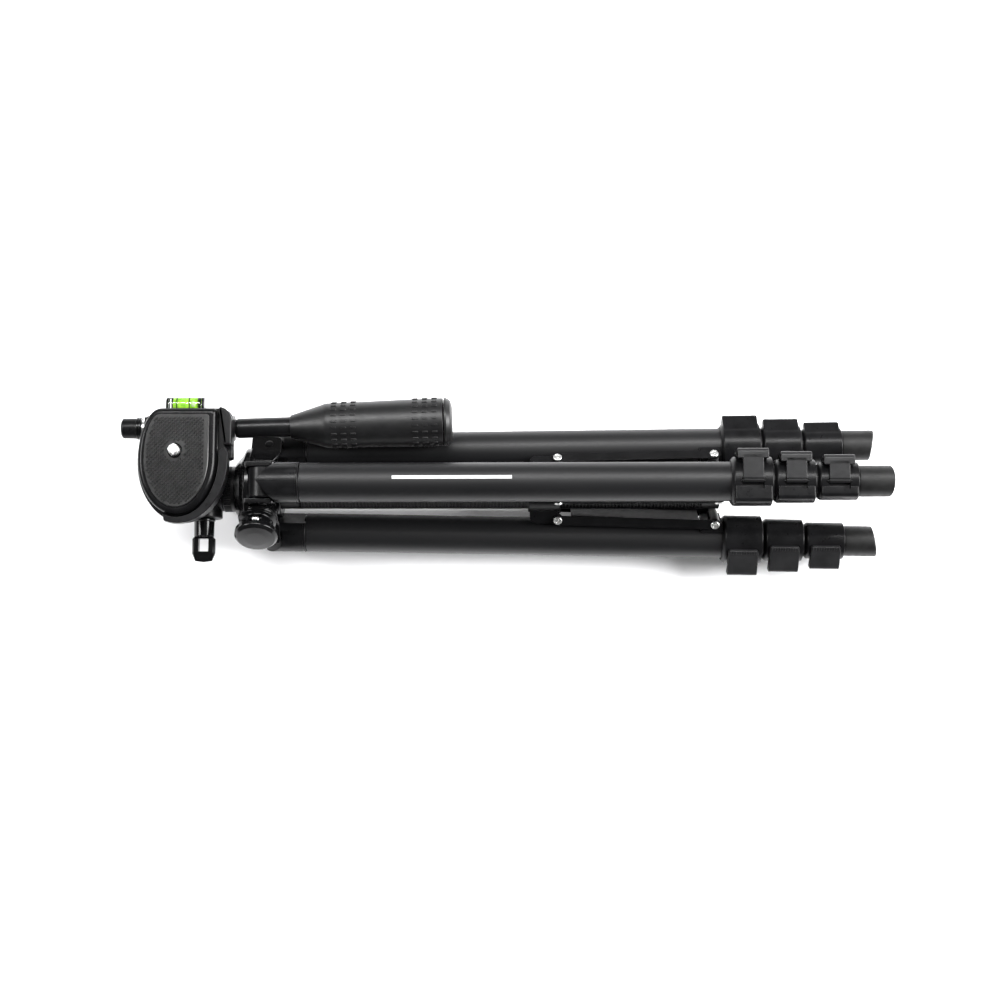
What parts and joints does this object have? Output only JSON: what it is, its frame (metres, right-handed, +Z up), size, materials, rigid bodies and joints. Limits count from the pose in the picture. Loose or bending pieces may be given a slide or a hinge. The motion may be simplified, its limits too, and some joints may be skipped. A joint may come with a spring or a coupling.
{
  "type": "camera tripod",
  "caption": "Folded aluminium camera tripod: telescoping legs with flip locks, spreader, geared column and three-way pan head with quick-release plate.",
  "frame": {"origin": "middle of the folded tripod's footprint, on the surface it lies on", "axes": "+X along the centre column from the head to the feet, +Y across the object, +Z up from the surface"},
  "size_m": [0.4443, 0.1016, 0.0869],
  "materials": {
    "black_plastic": "moulded ABS, fine matte texture with worn satin edges",
    "anodised_tube": "black anodised drawn tube, satin",
    "painted_steel": "black enamel on steel",
    "rubber": "moulded rubber, matte",
    "grip_rubber": "soft-touch grip, matte, with raised dashes",
    "plated_steel": "nickel-plated steel",
    "level_vial": "clear vial with yellow-green fluid"
  },
  "bodies": {
    "crown": {"crown": "black_plastic"},
    "column": {"column": "anodised_tube", "pan_base": "black_plastic"},
    "crank": {"crank": "black_plastic"},
    "spreader_hub": {"spreader_hub": "black_plastic"},
    "pan_body": {"pan_body": "black_plastic"},
    "pan_lock_knob": {"pan_lock_knob": "black_plastic"},
    "tilt_lock_knob": {"tilt_lock_knob": "black_plastic"},
    "tilt_block": {"tilt_block": "black_plastic"},
    "handle": {"handle_rod": "painted_steel", "handle_grip": "grip_rubber"},
    "flip_lock_knob": {"flip_lock_knob": "black_plastic"},
    "platform": {"platform": "black_plastic", "bubble_level": "level_vial"},
    "qr_lever": {"qr_lever": "black_plastic"},
    "quick_release_plate": {"quick_release_plate": "black_plastic", "plate_pad": "rubber"},
    "camera_screw": {"camera_screw": "plated_steel"},
    "leg_1": {"leg_1_top_casting": "black_plastic", "leg_1_tube_1": "anodised_tube", "leg_1_brace_bracket": "black_plastic", "leg_1_collar_1": "black_plastic"},
    "leg_1_section_2": {"leg_1_tube_2": "anodised_tube", "leg_1_collar_2": "black_plastic"},
    "leg_1_section_3": {"leg_1_tube_3": "anodised_tube", "leg_1_collar_3": "black_plastic"},
    "leg_1_section_4": {"leg_1_tube_4": "anodised_tube", "leg_1_foot": "rubber"},
    "leg_1_brace": {"leg_1_brace": "painted_steel"},
    "leg_1_lever_1": {"leg_1_lever_1": "black_plastic"},
    "leg_1_lever_2": {"leg_1_lever_2": "black_plastic"},
    "leg_1_lever_3": {"leg_1_lever_3": "black_plastic"},
    "leg_2": {"leg_2_top_casting": "black_plastic", "leg_2_tube_1": "anodised_tube", "leg_2_brace_bracket": "black_plastic", "leg_2_collar_1": "black_plastic"},
    "leg_2_section_2": {"leg_2_tube_2": "anodised_tube", "leg_2_collar_2": "black_plastic"},
    "leg_2_section_3": {"leg_2_tube_3": "anodised_tube", "leg_2_collar_3": "black_plastic"},
    "leg_2_section_4": {"leg_2_tube_4": "anodised_tube", "leg_2_foot": "rubber"},
    "leg_2_brace": {"leg_2_brace": "painted_steel"},
    "leg_2_lever_1": {"leg_2_lever_1": "black_plastic"},
    "leg_2_lever_2": {"leg_2_lever_2": "black_plastic"},
    "leg_2_lever_3": {"leg_2_lever_3": "black_plastic"},
    "leg_3": {"leg_3_top_casting": "black_plastic", "leg_3_tube_1": "anodised_tube", "leg_3_brace_bracket": "black_plastic", "leg_3_collar_1": "black_plastic"},
    "leg_3_section_2": {"leg_3_tube_2": "anodised_tube", "leg_3_collar_2": "black_plastic"},
    "leg_3_section_3": {"leg_3_tube_3": "anodised_tube", "leg_3_collar_3": "black_plastic"},
    "leg_3_section_4": {"leg_3_tube_4": "anodised_tube", "leg_3_foot": "rubber"},
    "leg_3_brace": {"leg_3_brace": "painted_steel"},
    "leg_3_lever_1": {"leg_3_lever_1": "black_plastic"},
    "leg_3_lever_2": {"leg_3_lever_2": "black_plastic"},
    "leg_3_lever_3": {"leg_3_lever_3": "black_plastic"}
  },
  "joints": [
    {"name": "leg_1_spread", "type": "hinge", "parent": "crown", "child": "leg_1", "pos_m": [-0.138, -0.0011, 0.06279], "axis": [0, -1, 0], "range_deg": [0, 16]},
    {"name": "leg_1_brace_pivot", "type": "hinge", "parent": "leg_1", "child": "leg_1_brace", "pos_m": [0.124, -0.0011, 0.05675], "axis": [0, -1, 0], "range_deg": [0, 37.5]},
    {"name": "leg_1_lever_1_hinge", "type": "hinge", "parent": "leg_1", "child": "leg_1_lever_1", "pos_m": [0.14037, -0.0025, 0.08425], "axis": [0.9998, 0, 0.0175], "range_deg": [0, 95]},
    {"name": "leg_1_section_2_slide", "type": "slide", "parent": "leg_1", "child": "leg_1_section_2", "axis": [0.9998, 0, 0.0175], "range_m": [0, 0.2]},
    {"name": "leg_1_lever_2_hinge", "type": "hinge", "parent": "leg_1_section_2", "child": "leg_1_lever_2", "pos_m": [0.16479, -0.0025, 0.08298], "axis": [0.9998, 0, 0.0175], "range_deg": [0, 95]},
    {"name": "leg_1_section_3_slide", "type": "slide", "parent": "leg_1_section_2", "child": "leg_1_section_3", "axis": [0.9998, 0, 0.0175], "range_m": [0, 0.2]},
    {"name": "leg_1_lever_3_hinge", "type": "hinge", "parent": "leg_1_section_3", "child": "leg_1_lever_3", "pos_m": [0.18922, -0.0025, 0.0818], "axis": [0.9998, 0, 0.0175], "range_deg": [0, 95]},
    {"name": "leg_1_section_4_slide", "type": "slide", "parent": "leg_1_section_3", "child": "leg_1_section_4", "axis": [0.9998, 0, 0.0175], "range_m": [0, 0.2]},
    {"name": "leg_2_spread", "type": "hinge", "parent": "crown", "child": "leg_2", "pos_m": [-0.138, -0.02235, 0.02598], "axis": [0, 0.5, -0.866], "range_deg": [0, 16]},
    {"name": "leg_2_brace_pivot", "type": "hinge", "parent": "leg_2", "child": "leg_2_brace", "pos_m": [0.124, -0.01712, 0.029], "axis": [0, 0.5, -0.866], "range_deg": [0, 37.5]},
    {"name": "leg_2_lever_1_hinge", "type": "hinge", "parent": "leg_2", "child": "leg_2_lever_1", "pos_m": [0.14037, -0.04024, 0.01404], "axis": [0.9998, -0.0151, -0.0087], "range_deg": [0, 95]},
    {"name": "leg_2_section_2_slide", "type": "slide", "parent": "leg_2", "child": "leg_2_section_2", "axis": [0.9998, -0.0151, -0.0087], "range_m": [0, 0.2]},
    {"name": "leg_2_lever_2_hinge", "type": "hinge", "parent": "leg_2_section_2", "child": "leg_2_lever_2", "pos_m": [0.16479, -0.03914, 0.01467], "axis": [0.9998, -0.0151, -0.0087], "range_deg": [0, 95]},
    {"name": "leg_2_section_3_slide", "type": "slide", "parent": "leg_2_section_2", "child": "leg_2_section_3", "axis": [0.9998, -0.0151, -0.0087], "range_m": [0, 0.2]},
    {"name": "leg_2_lever_3_hinge", "type": "hinge", "parent": "leg_2_section_3", "child": "leg_2_lever_3", "pos_m": [0.18922, -0.03812, 0.01526], "axis": [0.9998, -0.0151, -0.0087], "range_deg": [0, 95]},
    {"name": "leg_2_section_4_slide", "type": "slide", "parent": "leg_2_section_3", "child": "leg_2_section_4", "axis": [0.9998, -0.0151, -0.0087], "range_m": [0, 0.2]},
    {"name": "leg_3_spread", "type": "hinge", "parent": "crown", "child": "leg_3", "pos_m": [-0.138, 0.02015, 0.02598], "axis": [0, 0.5, 0.866], "range_deg": [0, 16]},
    {"name": "leg_3_brace_pivot", "type": "hinge", "parent": "leg_3", "child": "leg_3_brace", "pos_m": [0.124, 0.01492, 0.029], "axis": [0, 0.5, 0.866], "range_deg": [0, 37.5]},
    {"name": "leg_3_lever_1_hinge", "type": "hinge", "parent": "leg_3", "child": "leg_3_lever_1", "pos_m": [0.14037, 0.03944, 0.01646], "axis": [0.9998, 0.0151, -0.0087], "range_deg": [0, 95]},
    {"name": "leg_3_section_2_slide", "type": "slide", "parent": "leg_3", "child": "leg_3_section_2", "axis": [0.9998, 0.0151, -0.0087], "range_m": [0, 0.2]},
    {"name": "leg_3_lever_2_hinge", "type": "hinge", "parent": "leg_3_section_2", "child": "leg_3_lever_2", "pos_m": [0.16479, 0.03834, 0.0171], "axis": [0.9998, 0.0151, -0.0087], "range_deg": [0, 95]},
    {"name": "leg_3_section_3_slide", "type": "slide", "parent": "leg_3_section_2", "child": "leg_3_section_3", "axis": [0.9998, 0.0151, -0.0087], "range_m": [0, 0.2]},
    {"name": "leg_3_lever_3_hinge", "type": "hinge", "parent": "leg_3_section_3", "child": "leg_3_lever_3", "pos_m": [0.18922, 0.03732, 0.01769], "axis": [0.9998, 0.0151, -0.0087], "range_deg": [0, 95]},
    {"name": "leg_3_section_4_slide", "type": "slide", "parent": "leg_3_section_3", "child": "leg_3_section_4", "axis": [0.9998, 0.0151, -0.0087], "range_m": [0, 0.2]},
    {"name": "hub_slide", "type": "slide", "parent": "crown", "child": "spreader_hub", "axis": [1, 0, 0], "range_m": [0, 0.031]},
    {"name": "column_slide", "type": "slide", "parent": "crown", "child": "column", "axis": [-1, 0, 0], "range_m": [0, 0.2]},
    {"name": "crank_turn", "type": "hinge", "parent": "crown", "child": "crank", "pos_m": [-0.1424, -0.0011, 0.03825], "axis": [0, -0.866, 0.5], "continuous": true},
    {"name": "pan", "type": "hinge", "parent": "column", "child": "pan_body", "pos_m": [-0.1634, -0.0011, 0.03825], "axis": [1, 0, 0], "range_deg": [-4, 25]},
    {"name": "pan_lock_turn", "type": "hinge", "parent": "pan_body", "child": "pan_lock_knob", "pos_m": [-0.1707, -0.0011, 0.01825], "axis": [0, 0, -1], "range_deg": [0, 180]},
    {"name": "tilt_lock_turn", "type": "hinge", "parent": "pan_body", "child": "tilt_lock_knob", "pos_m": [-0.175, -0.0011, 0.03825], "axis": [0, -1, 0], "range_deg": [0, 180]},
    {"name": "tilt", "type": "hinge", "parent": "pan_body", "child": "tilt_block", "pos_m": [-0.175, -0.0011, 0.03825], "axis": [0, -1, 0], "range_deg": [0, 120]},
    {"name": "handle_twist", "type": "hinge", "parent": "tilt_block", "child": "handle", "pos_m": [-0.156, 0.0329, 0.05025], "axis": [0.9995, 0.0328, 0], "range_deg": [0, 270]},
    {"name": "flip", "type": "hinge", "parent": "tilt_block", "child": "platform", "pos_m": [-0.175, 0.0329, 0.05025], "axis": [-1, 0, 0], "range_deg": [0, 90]},
    {"name": "flip_lock_turn", "type": "hinge", "parent": "tilt_block", "child": "flip_lock_knob", "pos_m": [-0.2078, 0.0329, 0.05025], "axis": [-1, 0, 0], "range_deg": [0, 270]},
    {"name": "qr_lever_swing", "type": "hinge", "parent": "platform", "child": "qr_lever", "pos_m": [-0.1583, 0.0153, 0.06805], "axis": [0, 0, 1], "range_deg": [0, 30]},
    {"name": "plate_lift", "type": "slide", "parent": "platform", "child": "quick_release_plate", "axis": [0, 0, 1], "range_m": [0, 0.012]},
    {"name": "camera_screw_turn", "type": "hinge", "parent": "quick_release_plate", "child": "camera_screw", "pos_m": [-0.1868, 0.016, 0.06805], "axis": [0, 0, 1], "continuous": true}
  ],
  "couplings": [
    {"joint": "leg_1_brace_pivot", "follows": "leg_1_spread", "ratio": 2.3106},
    {"joint": "leg_2_spread", "follows": "leg_1_spread", "ratio": 1},
    {"joint": "leg_2_brace_pivot", "follows": "leg_1_spread", "ratio": 2.3106},
    {"joint": "leg_3_spread", "follows": "leg_1_spread", "ratio": 1},
    {"joint": "leg_3_brace_pivot", "follows": "leg_1_spread", "ratio": 2.3106},
    {"joint": "hub_slide", "follows": "leg_1_spread", "m_per_rad": 0.10923},
    {"joint": "crank_turn", "follows": "column_slide", "rad_per_m": 166.67}
  ]
}
